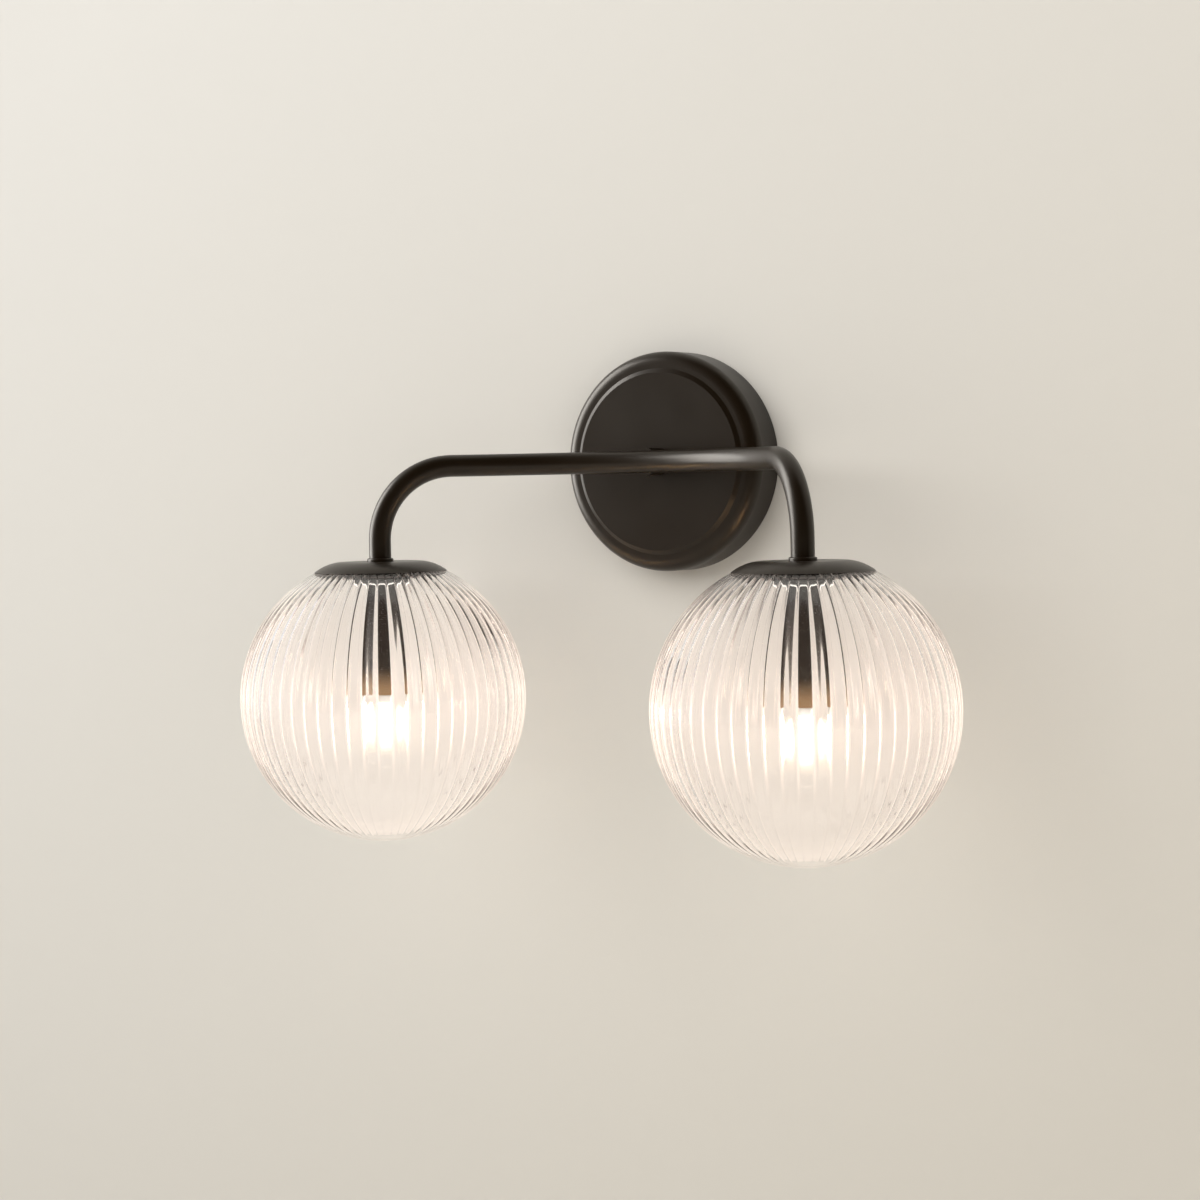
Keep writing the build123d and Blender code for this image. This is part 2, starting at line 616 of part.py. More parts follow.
def glass_form(radius, top):
    """A ball cut flat at the top."""
    return Pos(0, 0, CENTRE_Z) * Sphere(radius) - rod(GLOBE_DIA, top, top + GLOBE_RADIUS)


def glass_globe():
    hollow = glass_form(GLOBE_RADIUS - GLASS_WALL, GLASS_TOP_Z - GLASS_WALL)
    glass = glass_form(GLOBE_RADIUS, GLASS_TOP_Z) - hollow
    return glass - rod(RING_SKIRT_DIA + 2 * BOND_GAP, GLASS_TOP_Z - 2 * GLASS_WALL, GLASS_TOP_Z)


# ---------- Assembly ----------

def save(name, shape):
    """Writes one node: a single solid or a group of separate ones."""
    solids = []
    for piece in shape if isinstance(shape, list) else [shape]:
        solids += piece.solids()
    export_step(Compound(children=solids) if len(solids) > 1 else solids[0], f"parts/{name}.step")


def to_right_shade(shape):
    """Moves a piece from the cap's own place to the right end of the arm, square to the arm."""
    place = Pos(SHADE_SPACING / 2, SHADE_Y, CAP_TOP_Z) * Rot(0, 0, -ARM_HALF_SWEEP)
    return [place * piece for piece in shape] if isinstance(shape, list) else place * shape


def mirrored(shape):
    """The left-hand twin of a right-hand piece."""
    return [piece.mirror(Plane.YZ) for piece in shape] if isinstance(shape, list) else shape.mirror(Plane.YZ)


def shared_pieces():
    return {
        "canopy_shell": canopy_shell(),
        "wall_bracket": wall_bracket(),
        "canopy_side_screws": canopy_side_screws(),
        "earth_screw": earth_screw(),
        "stem_tube": stem_tube(),
        "stem_nipple": out_from_wall(pipe(NIPPLE_DIA, NIPPLE_BORE, STEM_NIPPLE_BACK, STEM_NIPPLE_FRONT)),
        "stem_washer": out_from_wall(pipe(WASHER_DIA, NIPPLE_DIA + 2 * HOLE_GAP, TAG_SEAT, DISC_BACK)),
        "stem_nut": out_from_wall(Pos(0, 0, STEM_NUT_FRONT) * Rot(180, 0, 0)
                                  * hex_nut(HEX_FLATS, NIPPLE_DIA, 0, STEM_NUT_THICK)),
        "nipple_earth_tag": nipple_earth_tag(),
        "bracket_earth_tag": bracket_earth_tag(),
        "earth_lead": earth_lead(),
        "live_wire_connector": wire_connector(up=True),
        "neutral_wire_connector": wire_connector(up=False),
        "arm_tube": arm_tube(),
    }


def shade_pieces():
    return {
        "collar": collar(),
        "shade_cap": shade_cap(),
        "shade_hub": shade_hub(),
        "cap_nipple": cap_nipple(),
        "cap_nut": cap_nut(),
        "holder_strap": holder_strap(),
        "strap_screws": strap_screws(),
        "socket_cover": socket_cover(),
        "lampholder": lampholder(),
        "holder_contacts": holder_contacts(),
        "bulb_base": bulb_base(),
        "bulb_pins": bulb_pins(),
        "bulb_board": bulb_board(),
        "bulb_envelope": bulb_envelope(),
        "shade_washer": shade_washer(),
        "shade_ring": shade_ring(),
        "glass_globe": glass_globe(),
    }


def main():
    os.makedirs("parts", exist_ok=True)
    for name, shape in shared_pieces().items():
        save(name, shape)
    right_pieces = {name: to_right_shade(shape) for name, shape in shade_pieces().items()}
    right_pieces["live_lead"] = lamp_lead(LEAD_GAP / 2)
    right_pieces["neutral_lead"] = lamp_lead(-LEAD_GAP / 2)
    for name, shape in right_pieces.items():
        save(f"right_{name}", shape)
        save(f"left_{name}", mirrored(shape))
    print(f"arm radius {ARM_RADIUS:.2f}, shade axis {SHADE_Y:.2f} from the wall")
    print(f"cap top {CAP_TOP_Z:.2f}, globe centre {CAP_TOP_Z + CENTRE_Z:.2f}")
    print(f"box slots {BOX_SLOT_SPACING:.2f} apart, {BOX_SLOT_LENGTH:.2f} long")


main()
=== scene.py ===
# %% [markdown]
# # A double arm wall sconce, dressed for its portrait
# The lamp is a stepped black canopy, one black tube that bows out from the wall and turns down at both
# ends, and two ribbed glass globes that hang from shallow spun caps. Its solids were made before and are
# loaded here as a fixed frame. Each of them takes a finish of its own, and the two globes, whose ribs are
# too fine for the frame, get a finer mesh of the same size. Lengths are metres unless a name ends in MM.

# %% Load the frame and remember its box
import bpy
import bmesh
import json
import math
from mathutils import Matrix, Vector


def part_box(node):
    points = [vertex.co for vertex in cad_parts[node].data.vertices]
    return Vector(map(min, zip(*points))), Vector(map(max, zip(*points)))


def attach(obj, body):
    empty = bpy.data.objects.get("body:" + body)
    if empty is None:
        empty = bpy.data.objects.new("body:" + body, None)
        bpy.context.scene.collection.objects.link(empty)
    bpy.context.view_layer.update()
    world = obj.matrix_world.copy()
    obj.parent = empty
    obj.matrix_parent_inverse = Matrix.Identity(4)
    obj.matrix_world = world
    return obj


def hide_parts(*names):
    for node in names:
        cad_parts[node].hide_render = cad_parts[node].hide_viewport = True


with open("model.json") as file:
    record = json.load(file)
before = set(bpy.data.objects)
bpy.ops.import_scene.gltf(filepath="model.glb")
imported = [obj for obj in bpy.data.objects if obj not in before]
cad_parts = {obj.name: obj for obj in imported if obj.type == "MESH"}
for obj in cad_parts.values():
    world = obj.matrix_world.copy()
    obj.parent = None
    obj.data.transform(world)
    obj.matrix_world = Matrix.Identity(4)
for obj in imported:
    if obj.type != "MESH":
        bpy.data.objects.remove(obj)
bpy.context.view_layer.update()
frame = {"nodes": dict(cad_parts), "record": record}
nodes = frame["nodes"]
MM = 0.001
SIDES = ("left", "right")
print("nodes in the frame:", len(nodes))

# %% [markdown]
# ## Where the globes hang
# A finer mesh has to sit exactly where its solid does. Its place could be typed in, but a typed number goes
# wrong as soon as a solid changes. So it is read from the boxes of the solids: each cap gives the axis of
# its globe, and the bottom of the glass plus its radius gives the height of the middle.

# %% Middles of the two globes
GLOBE_R = 0.0775


def middle(node):
    """Middle of a solid's box."""
    low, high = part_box(node)
    return (Vector(low) + Vector(high)) / 2


CENTRE = {side: middle(f"{side}_shade_cap") for side in SIDES}
for side in SIDES:
    CENTRE[side].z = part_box("right_glass_globe")[0][2] + GLOBE_R
    print(side, "globe's middle:", [round(v, 4) for v in CENTRE[side]])
GLOBE_Z = CENTRE["left"].z

# %% [markdown]
# ## A finish that isn't perfectly even
# Every finish is a Principled BSDF. Its constant values sit on its own sockets. One flat colour with one
# flat gloss looks like a drawing, because no coating is perfectly even, so broad noise moves the roughness
# a little, and where the real surface is grainy, fine noise adds a bump of a few hundredths of a millimetre.

# %% One function for all plain finishes
PATCH_SCALE = 60.0
GRAIN_SCALE = 900.0
GRAIN_STRENGTH = 0.6


def finish(name, colour, roughness, metallic=0.0, grain=0.0, grain_scale=GRAIN_SCALE, uneven=0.05, **sockets):
    """A Principled material with noise in its roughness and a fine bump of that depth in metres."""
    material = bpy.data.materials.new(name)
    material.use_nodes = True
    tree = material.node_tree
    shader = tree.nodes["Principled BSDF"]
    shader.inputs["Base Color"].default_value = (*colour, 1.0)
    shader.inputs["Metallic"].default_value = metallic
    for socket, value in sockets.items():
        shader.inputs[socket.replace("_", " ")].default_value = value
    place = tree.nodes.new("ShaderNodeTexCoord")
    patches = tree.nodes.new("ShaderNodeTexNoise")
    patches.inputs["Scale"].default_value = PATCH_SCALE
    spread = tree.nodes.new("ShaderNodeMapRange")
    spread.inputs["To Min"].default_value = roughness - uneven
    spread.inputs["To Max"].default_value = roughness + uneven
    tree.links.new(place.outputs["Object"], patches.inputs["Vector"])
    tree.links.new(patches.outputs["Fac"], spread.inputs["Value"])
    tree.links.new(spread.outputs["Result"], shader.inputs["Roughness"])
    if grain:
        fine = tree.nodes.new("ShaderNodeTexNoise")
        fine.inputs["Scale"].default_value = grain_scale
        bump = tree.nodes.new("ShaderNodeBump")
        bump.inputs["Distance"].default_value = grain
        bump.inputs["Strength"].default_value = GRAIN_STRENGTH
        tree.links.new(place.outputs["Object"], fine.inputs["Vector"])
        tree.links.new(fine.outputs["Fac"], bump.inputs["Height"])
        tree.links.new(bump.outputs["Normal"], shader.inputs["Normal"])
    return material


# %% [markdown]
# ## Black steel
# The canopy, stem, arm, caps and hubs are steel with a satin black powder coat that looks faintly brown. It
# could be made as a dark metal, but a coat is plastic over steel, so it is a very dark base under a gloss
# that is a little warm, and the fine grain is the texture of the powder. The lacquered ring is smoother.

# %% Black coats
black_coat = finish("satin_black_coat", (0.0070, 0.0042, 0.0020), 0.33, grain=0.00003, grain_scale=1400.0,
                    Specular_Tint=(1.0, 0.93, 0.84, 1.0), Specular_IOR_Level=0.4)
gloss_black = finish("gloss_black_lacquer", (0.008, 0.0065, 0.005), 0.14, uneven=0.03)
print("black coats:", black_coat.name, gloss_black.name)

# %% [markdown]
# ## Small parts
# Zinc-plated steel, brass and the green earth screw are bare or thinly coated metal, so their colour is the
# colour of their reflections (metallic). Wire sheaths, connectors, ceramic and silicone are not metal, and
# differ mostly in how rough they are. Most of them show only from behind the canopy or inside a cap.

# %% Metals, plastics and ceramic
zinc = finish("zinc_plate", (0.60, 0.60, 0.58), 0.38, metallic=1.0, uneven=0.1)
brass = finish("turned_brass", (0.72, 0.53, 0.25), 0.3, metallic=1.0)
green_coat = finish("green_passivated", (0.04, 0.27, 0.08), 0.35, metallic=0.6)
earth_sheath = finish("earth_sheath", (0.28, 0.45, 0.05), 0.5)
black_sheath = finish("black_sheath", (0.03, 0.03, 0.03), 0.55)
white_sheath = finish("white_sheath", (0.78, 0.78, 0.75), 0.55)
amber_plastic = finish("amber_connector", (0.75, 0.38, 0.06), 0.3)
ceramic = finish("unglazed_ceramic", (0.86, 0.85, 0.81), 0.7, grain=0.00005)
white_plastic = finish("white_plastic", (0.85, 0.84, 0.8), 0.35)
silicone = finish("clear_silicone", (0.7, 0.7, 0.68), 0.45)
print("finishes so far:", len(bpy.data.materials))

# %% [markdown]
# ## Nodes
# A material is a tree of small nodes, and much of such a tree is arithmetic. Each of its nodes could be
# made and linked by hand, but two helpers keep it readable: plain arithmetic, and a soft step from one
# number to another.


# %% Helpers for node trees
def add_math(tree, operation, first, second=0.0):
    """A Math node whose inputs are sockets or plain numbers; returns its output."""
    node = tree.nodes.new("ShaderNodeMath")
    node.operation = operation
    for socket, value in zip(node.inputs, (first, second)):
        if isinstance(value, bpy.types.NodeSocket):
            tree.links.new(value, socket)
        else:
            socket.default_value = value
    return node.outputs["Value"]


def add_step(tree, value, start, end, at_start, at_end):
    """A soft step from one number at the start to another at the end; returns its output."""
    node = tree.nodes.new("ShaderNodeMapRange")
    node.interpolation_type = "SMOOTHSTEP"
    for name, number in (("From Min", start), ("From Max", end), ("To Min", at_start), ("To Max", at_end)):
        node.inputs[name].default_value = number
    tree.links.new(value, node.inputs["Value"])
    return node.outputs["Result"]


# %% [markdown]
# ## The lit bulb
# The frosted capsule bulb is on, and in a photograph it is white with a warm halo. Emission on its envelope
# does this and lights the inside of the black tube as well. A real bulb would be many times brighter than
# the room, and so much light would drown the glass, so light that has already bounced off something sees a
# weaker bulb than the eye does. Light Path tells the two apart.

# %% Frosted envelope
BULB_COLOUR = (1.0, 0.80, 0.56)
BULB_STRENGTH = 45.0
BULB_STRENGTH_IN_REFLECTIONS = 9.0
bulb_glow = finish("frosted_lit_envelope", (0.95, 0.9, 0.82), 0.5)
bulb_tree = bulb_glow.node_tree
bulb_shader = bulb_tree.nodes["Principled BSDF"]
bulb_shader.inputs["Emission Color"].default_value = (*BULB_COLOUR, 1.0)
bulb_path = bulb_tree.nodes.new("ShaderNodeLightPath")
bounced = add_math(bulb_tree, "ADD", bulb_path.outputs["Diffuse Depth"], bulb_path.outputs["Glossy Depth"])
bulb_strength = add_step(bulb_tree, bounced, 0.0, 1.0, BULB_STRENGTH, BULB_STRENGTH_IN_REFLECTIONS)
bulb_tree.links.new(bulb_strength, bulb_shader.inputs["Emission Strength"])
print("bulb strength:", BULB_STRENGTH, "and in reflections:", BULB_STRENGTH_IN_REFLECTIONS)

# %% [markdown]
# ## Ribbed glass: measures
# Each globe is pressed glass with sixty fine upright ribs outside and a smooth inside. The ribs on the two
# globes aren't turned the same way, because a shade stops where its thread stops, so each has its own angle,
# found from the dark streaks that the black tube makes through the glass. They fade out towards the bottom.

# %% Measures of the glass
RIBS = 60
RIB_DEPTH_MM = 0.6
RIB_ANGLE = {"left": math.radians(-53.8), "right": math.radians(-63.4)}
ROUND_GROOVE = (0.85, 4)
CREASE_IN_GROOVE = (0.15, 20)
FADE_UP = 0.6
FADE_DOWN = 3.2
GLASS_WALL_MM = 3.0
MOUTH_R_MM = 17.0
SEAT_ABOVE_CENTRE_MM = 70.5
COLUMNS_PER_RIB = 16
OUTER_ROWS = 60
INNER_ROWS = 28
print("width of a rib at the widest place, in mm:", round(2 * math.pi * GLOBE_R / MM / RIBS, 2))

# %% [markdown]
# ## Ribbed glass: a clear finish
# Clear glass is a Principled BSDF with full transmission. Pressed glass is never quite polished, so tiny
# specks of noise are rougher than the rest. The glow that the next cells add only tints the glass and would
# make noise if Blender aimed light samples at it, so sampling it is switched off.

# %% Clear glass with specks
GLASS_COLOUR = (0.995, 0.99, 0.985)
GLASS_IOR = 1.47
SPECK_SCALE = 2500.0
SPECK_STEP = (0.70, 0.74)
ROUGHNESS_CLEAR = 0.03
ROUGHNESS_OF_SPECKS = 0.3


def clear_glass(name, glow_colour):
    """Clear glass with fine specks; returns its material, tree, shader, place and roughness."""
    material = bpy.data.materials.new(name)
    material.use_nodes = True
    material.cycles.emission_sampling = "NONE"
    tree = material.node_tree
    shader = tree.nodes["Principled BSDF"]
    shader.inputs["Base Color"].default_value = (*GLASS_COLOUR, 1.0)
    shader.inputs["IOR"].default_value = GLASS_IOR
    shader.inputs["Transmission Weight"].default_value = 1.0
    shader.inputs["Emission Color"].default_value = (*glow_colour, 1.0)
    place = tree.nodes.new("ShaderNodeTexCoord").outputs["Object"]
    specks = tree.nodes.new("ShaderNodeTexNoise")
    specks.inputs["Scale"].default_value = SPECK_SCALE
    tree.links.new(place, specks.inputs["Vector"])
    haze = add_step(tree, specks.outputs["Fac"], *SPECK_STEP, ROUGHNESS_CLEAR, ROUGHNESS_OF_SPECKS)
    parts = tree.nodes.new("ShaderNodeSeparateXYZ")
    tree.links.new(place, parts.inputs["Vector"])
    return material, tree, shader, parts.outputs, haze


# %% [markdown]
# ## Ribbed glass: the outside
# With the bulb on, the light that is caught in a real globe comes out at its rim, where the glass is seen
# edge on, and in the grooves at the height of the bulb. Tracing that light takes very many samples, so the
# outside has a faint glow in those places. Layer Weight finds the rim from any side. Steps in height are
# measured from the globe's middle, and a groove's width is a share of the distance between two ribs.

# %% Glow at the rim and in the grooves
RIM_COLOUR = (1.0, 0.81, 0.69)
RIM_STEP = (0.35, 1.0)
RIM_LEAST, RIM_MOST = 0.01, 0.42
NECK_STEP = (0.052, 0.066)
FOOT_STEP = (-0.0775, -0.05)
RIM_SHARE_AT_FOOT = 0.5
GROOVE_GLOW = 0.3
GROOVE_HALF_WIDTH = 0.16
GROOVE_STEP = (0.006, 0.034)
BULB_Z = GLOBE_Z - 0.006


def glow_in_grooves(tree, parts, side):
    """Brightest at the bottom of each groove, at the height of the bulb."""
    across = add_math(tree, "SUBTRACT", parts["X"], CENTRE[side].x)
    deep = add_math(tree, "SUBTRACT", parts["Y"], CENTRE[side].y)
    turn = add_math(tree, "SUBTRACT", add_math(tree, "ARCTAN2", deep, across), RIB_ANGLE[side])
    rib = add_math(tree, "ADD", add_math(tree, "MULTIPLY", turn, RIBS / (2 * math.pi)), 0.5)
    from_groove = add_math(tree, "PINGPONG", rib, 0.5)
    line = add_step(tree, from_groove, 0.0, GROOVE_HALF_WIDTH, 1.0, 0.0)
    off_height = add_math(tree, "ABSOLUTE", add_math(tree, "SUBTRACT", parts["Z"], BULB_Z))
    return add_math(tree, "MULTIPLY", line, add_step(tree, off_height, *GROOVE_STEP, GROOVE_GLOW, 0.0))


def outside_of_glass(side):
    """Glass that glows towards the rim, less at neck and foot, and in the grooves."""
    material, tree, shader, parts, haze = clear_glass(f"ribbed_glass_outside_{side}", RIM_COLOUR)
    tree.links.new(haze, shader.inputs["Roughness"])
    edge = tree.nodes.new("ShaderNodeLayerWeight")
    edge.inputs["Blend"].default_value = 0.5
    rim = add_step(tree, edge.outputs["Facing"], *RIM_STEP, RIM_LEAST, RIM_MOST)
    neck_low, neck_high = (GLOBE_Z + z for z in NECK_STEP)
    foot_low, foot_high = (GLOBE_Z + z for z in FOOT_STEP)
    below_neck = add_step(tree, parts["Z"], neck_low, neck_high, 1.0, 0.0)
    above_foot = add_step(tree, parts["Z"], foot_low, foot_high, RIM_SHARE_AT_FOOT, 1.0)
    rim = add_math(tree, "MULTIPLY", rim, add_math(tree, "MULTIPLY", below_neck, above_foot))
    glow = add_math(tree, "ADD", rim, glow_in_grooves(tree, parts, side))
    tree.links.new(glow, shader.inputs["Emission Strength"])
    return material


outer_glass = {side: outside_of_glass(side) for side in SIDES}
print("outside finishes:", [material.name for material in outer_glass.values()])

# %% [markdown]
# ## Ribbed glass: the inside
# Seen through the globe, its far side is a pale, warm screen, brightest at the height of the bulb. So the
# inner surface glows a little where it faces the eye, which is on the far side only. Round the bulb it is
# also rougher, and that spreads the picture of the bulb into a soft patch, as the real glass does.

# %% Glow of the far side and haze round the bulb
FAR_COLOUR = (1.0, 0.73, 0.65)
GLOW_LOW = 0.145
GLOW_MIDDLE = 0.21
GLOW_HIGH = 0.07
HAZE_Z = BULB_Z - 0.006
HAZE_STEP = (0.009, 0.018)
HAZE_ROUGHNESS = 0.22


def inside_of_glass():
    """Glass whose far side glows by height, with a haze round the bulb."""
    material, tree, shader, parts, haze = clear_glass("ribbed_glass_inside", FAR_COLOUR)
    upward = add_step(tree, parts["Z"], GLOBE_Z - GLOBE_R, GLOBE_Z, GLOW_LOW, GLOW_MIDDLE)
    downward = add_step(tree, parts["Z"], GLOBE_Z, GLOBE_Z + GLOBE_R, 1.0, GLOW_HIGH / GLOW_MIDDLE)
    by_height = add_math(tree, "MULTIPLY", upward, downward)
    turned_away = tree.nodes.new("ShaderNodeNewGeometry").outputs["Backfacing"]
    far_glow = add_math(tree, "MULTIPLY", by_height, add_math(tree, "SUBTRACT", 1.0, turned_away))
    tree.links.new(far_glow, shader.inputs["Emission Strength"])
    off_height = add_math(tree, "ABSOLUTE", add_math(tree, "SUBTRACT", parts["Z"], HAZE_Z))
    band = add_step(tree, off_height, *HAZE_STEP, HAZE_ROUGHNESS, ROUGHNESS_CLEAR)
    tree.links.new(add_math(tree, "MAXIMUM", haze, band), shader.inputs["Roughness"])
    return material


inner_glass = inside_of_glass()
print("inside finish:", inner_glass.name)

# %% [markdown]
# ## From mesh to piece
# Blender keeps a shape as mesh data, and an object puts that data in the scene. A mesh that stands for a
# solid also has to ride on the body that its solid moves with, here the shade that unscrews, and it has to
# hide that solid. Smooth shading rounds the look of a mesh, so edges over a given angle are kept sharp.


# %% Helpers that put things in the scene
def show(name, data):
    """A new object in the scene, made from mesh, lamp or camera data."""
    thing = bpy.data.objects.new(name, data)
    bpy.context.scene.collection.objects.link(thing)
    return thing


def mesh_data(name, mesh):
    """Mesh data made from a bmesh, which is then freed."""
    data = bpy.data.meshes.new(name)
    mesh.to_mesh(data)
    mesh.free()
    return data


def shade_smooth(data, sharp_degrees):
    """Smooth shading with sharp edges where faces meet at more than this angle."""
    data.polygons.foreach_set("use_smooth", [True] * len(data.polygons))
    data.set_sharp_from_angle(angle=math.radians(sharp_degrees))


def add_piece(name, data, materials, body, replaced):
    """Shows a mesh as a piece that rides on a body and stands for a solid."""
    piece = show(name, data)
    for material in materials:
        data.materials.append(material)
    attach(piece, body)
    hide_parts(replaced)
    return piece


# %% [markdown]
# ## Ribbed glass: the shape
# Each rib is a small lens that spreads what lies behind it into upright streaks. A bump texture could draw
# ribs, but it doesn't bend light on its way through, so the ribs are modelled. The outline of a ball is
# swung about the upright axis, and every point outside sinks by how far it is from the top of its rib. The
# columns lie closer together near the grooves, where the surface bends most.


# %% Outline and groove
def ball_rows(radius, top, rows):
    """(radius, height) points up a ball to a flat top, without the lowest point."""
    end = math.acos(-top / radius)
    turns = [end * k / rows for k in range(1, rows + 1)]
    return [(radius * math.sin(turn), -radius * math.cos(turn)) for turn in turns]


def rib_sink(across, r, z):
    """How deep a point lies below the top of its rib, in millimetres; across is -1 to 1 over a rib."""
    groove = sum(share * across ** power for share, power in (ROUND_GROOVE, CREASE_IN_GROOVE))
    fade = (r * MM / GLOBE_R) ** (FADE_UP if z > 0 else FADE_DOWN)
    return RIB_DEPTH_MM * groove * fade


profile = [round(rib_sink(share, GLOBE_R / MM, 0), 3) for share in (0, 0.5, 0.8, 1)]
print("half a rib, from its top to the groove, in mm:", profile)


# %% One ring of points
def ribbed_ring(mesh, r, z, ribbed, first_rib):
    """One level ring of points, with a rib's top at the given angle."""
    ring = []
    for k in range(RIBS * COLUMNS_PER_RIB):
        across = math.sin(math.pi * (k / COLUMNS_PER_RIB % 1.0 - 0.5))
        angle = first_rib + 2 * math.pi * (k // COLUMNS_PER_RIB + across / 2) / RIBS
        sunk = 1.0 - (rib_sink(across, r, z) * MM / GLOBE_R if ribbed else 0.0)
        flat = r * sunk * MM
        ring.append(mesh.verts.new((flat * math.cos(angle), flat * math.sin(angle), z * sunk * MM)))
    return ring


# %% One ribbed globe
def ribbed_globe(name, first_rib):
    """A closed glass shell about the origin, ribbed outside and smooth inside."""
    radius = GLOBE_R / MM
    outside = ball_rows(radius, SEAT_ABOVE_CENTRE_MM, OUTER_ROWS)
    inside = ball_rows(radius - GLASS_WALL_MM, SEAT_ABOVE_CENTRE_MM - GLASS_WALL_MM, INNER_ROWS)
    mouth = [(MOUTH_R_MM, SEAT_ABOVE_CENTRE_MM), (MOUTH_R_MM, SEAT_ABOVE_CENTRE_MM - GLASS_WALL_MM)]
    mesh = bmesh.new()
    rings = [ribbed_ring(mesh, r, z, True, first_rib) for r, z in outside]
    rings += [ribbed_ring(mesh, r, z, False, first_rib) for r, z in mouth + inside[::-1]]
    for ring, following in zip(rings, rings[1:]):
        for k in range(len(ring)):
            after = (k + 1) % len(ring)
            mesh.faces.new((ring[k], ring[after], following[after], following[k]))
    for ring, z in ((rings[0], -radius), (rings[-1], -(radius - GLASS_WALL_MM))):
        pole = mesh.verts.new((0, 0, z * MM))
        for k in range(len(ring)):
            mesh.faces.new((ring[k], ring[(k + 1) % len(ring)], pole))
    bmesh.ops.recalc_face_normals(mesh, faces=mesh.faces)
    middle_of_wall = (radius - GLASS_WALL_MM / 2 - RIB_DEPTH_MM / 2) * MM
    for face in mesh.faces:
        face.material_index = int(face.calc_center_median().length < middle_of_wall)
    return mesh_data(name, mesh)


# %% Hang the globes
SHARP_ON_GLASS = 50
globes = []
for side in SIDES:
    name = f"{side}_ribbed_globe"
    glass = ribbed_globe(name, RIB_ANGLE[side])
    glass.transform(Matrix.Translation(CENTRE[side]))
    shade_smooth(glass, SHARP_ON_GLASS)
    globe = add_piece(name, glass, (outer_glass[side], inner_glass), f"{side}_shade",
                      f"{side}_glass_globe")
    globe.visible_shadow = False
    globes.append(globe)
    print(globe.name, "faces:", len(glass.polygons))

# %% [markdown]
# ## Finishes on the solids
# The other parts already have the right shape, so they only take their finish. The frame says which material
# slot each of them belongs to, and one table turns a slot into a finish. Blender keeps a material on a mesh,
# and these meshes come in with a plain one in their slots, so it is swapped there.

# %% Give each solid its finish
SHARP_ON_SOLIDS = 30
FINISH_OF_SLOT = {
    "satin_black_steel": black_coat, "gloss_black_ring": gloss_black, "zinc_steel": zinc,
    "black_screws": black_coat, "green_screw": green_coat, "brass_nipple": brass,
    "earth_insulation": earth_sheath, "black_insulation": black_sheath, "white_insulation": white_sheath,
    "connector_plastic": amber_plastic, "holder_ceramic": ceramic, "bulb_base_plastic": white_plastic,
    "bulb_board_white": white_plastic, "frosted_envelope": bulb_glow, "clear_silicone": silicone,
    "ribbed_glass": inner_glass,
}


def coat(node, material):
    """Puts one finish on a solid."""
    for place in node.material_slots:
        place.material = material


for part in frame["record"]["subparts"]:
    coat(nodes[part["node"]], FINISH_OF_SLOT[part["material_slot"]])
for node in nodes.values():
    shade_smooth(node.data, SHARP_ON_SOLIDS)

# %% [markdown]
# ## Ends that the bulb lights
# Two edges sit so near the bulb that they look lit themselves: the lowest stretch of the black tube, which
# turns amber, and the thin lip of the ring in the globe's mouth. Light from the bulb alone could do it, but
# the glass would need far more samples, so both glow by height, most at the very end.

# %% Lit tube end and lit ring lip
TUBE_END_COLOUR, TUBE_END_GLOW, TUBE_END_REACH = (1.0, 0.56, 0.26), 0.34, 0.016
RING_LIP_COLOUR, RING_LIP_GLOW, RING_LIP_REACH = (1.0, 0.93, 0.85), 1.6, 0.0011


def lit_end(material, node, colour, strength, reach):
    """Lets the lowest stretch of a piece glow, and puts the finish on both sides."""
    tree = material.node_tree
    shader = tree.nodes["Principled BSDF"]
    shader.inputs["Emission Color"].default_value = (*colour, 1.0)
    parts = tree.nodes.new("ShaderNodeSeparateXYZ")
    tree.links.new(tree.nodes["Texture Coordinate"].outputs["Object"], parts.inputs["Vector"])
    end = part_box(f"left_{node}")[0][2]
    glow = add_step(tree, parts.outputs["Z"], end, end + reach, strength, 0.0)
    tree.links.new(glow, shader.inputs["Emission Strength"])
    for side in SIDES:
        coat(nodes[f"{side}_{node}"], material)
    print(node, "glows from", round(end, 4), "up to", round(end + reach, 4))


cover_black = finish("socket_cover_black", (0.014, 0.010, 0.007), 0.14, uneven=0.03)
lit_end(cover_black, "socket_cover", TUBE_END_COLOUR, TUBE_END_GLOW, TUBE_END_REACH)
lit_end(gloss_black, "shade_ring", RING_LIP_COLOUR, RING_LIP_GLOW, RING_LIP_REACH)

# %% [markdown]
# ## The wall
# The lamp hangs on a plain pale wall, a sheet just behind the canopy's rim. It is open behind the canopy,
# where the box for the wires would be, so nothing of the lamp touches it. It could be one colour, but a real
# wall is never lit evenly, so painted shading in its colour runs softly from a paler, lit tone to a darker,
# shaded tone across the picture. Seen from behind it is clear, so that the back of the lamp can be looked at.

# %% Sheet with a round hole
WALL_SIZE = 6.0
WALL_GAP = 0.0006
WALL_HOLE_R = 0.0592
WALL_CORNERS = 64


def wall_mesh():
    """A big upright sheet with a round hole behind the canopy, facing -Y."""
    mesh = bmesh.new()
    inner, outer = [], []
    for k in range(WALL_CORNERS):
        angle = 2 * math.pi * (k + 0.5) / WALL_CORNERS
        across, up = math.cos(angle), math.sin(angle)
        reach = WALL_SIZE / 2 / max(abs(across), abs(up))
        inner.append(mesh.verts.new((WALL_HOLE_R * across, 0, WALL_HOLE_R * up)))
        outer.append(mesh.verts.new((reach * across, 0, reach * up)))
    for k in range(WALL_CORNERS):
        after = (k + 1) % WALL_CORNERS
        mesh.faces.new((inner[k], outer[k], outer[after], inner[after]))
    return mesh_data("wall", mesh)


wall = show("wall", wall_mesh())
wall.location.y = WALL_GAP
print("faces in the wall:", len(wall.data.polygons))
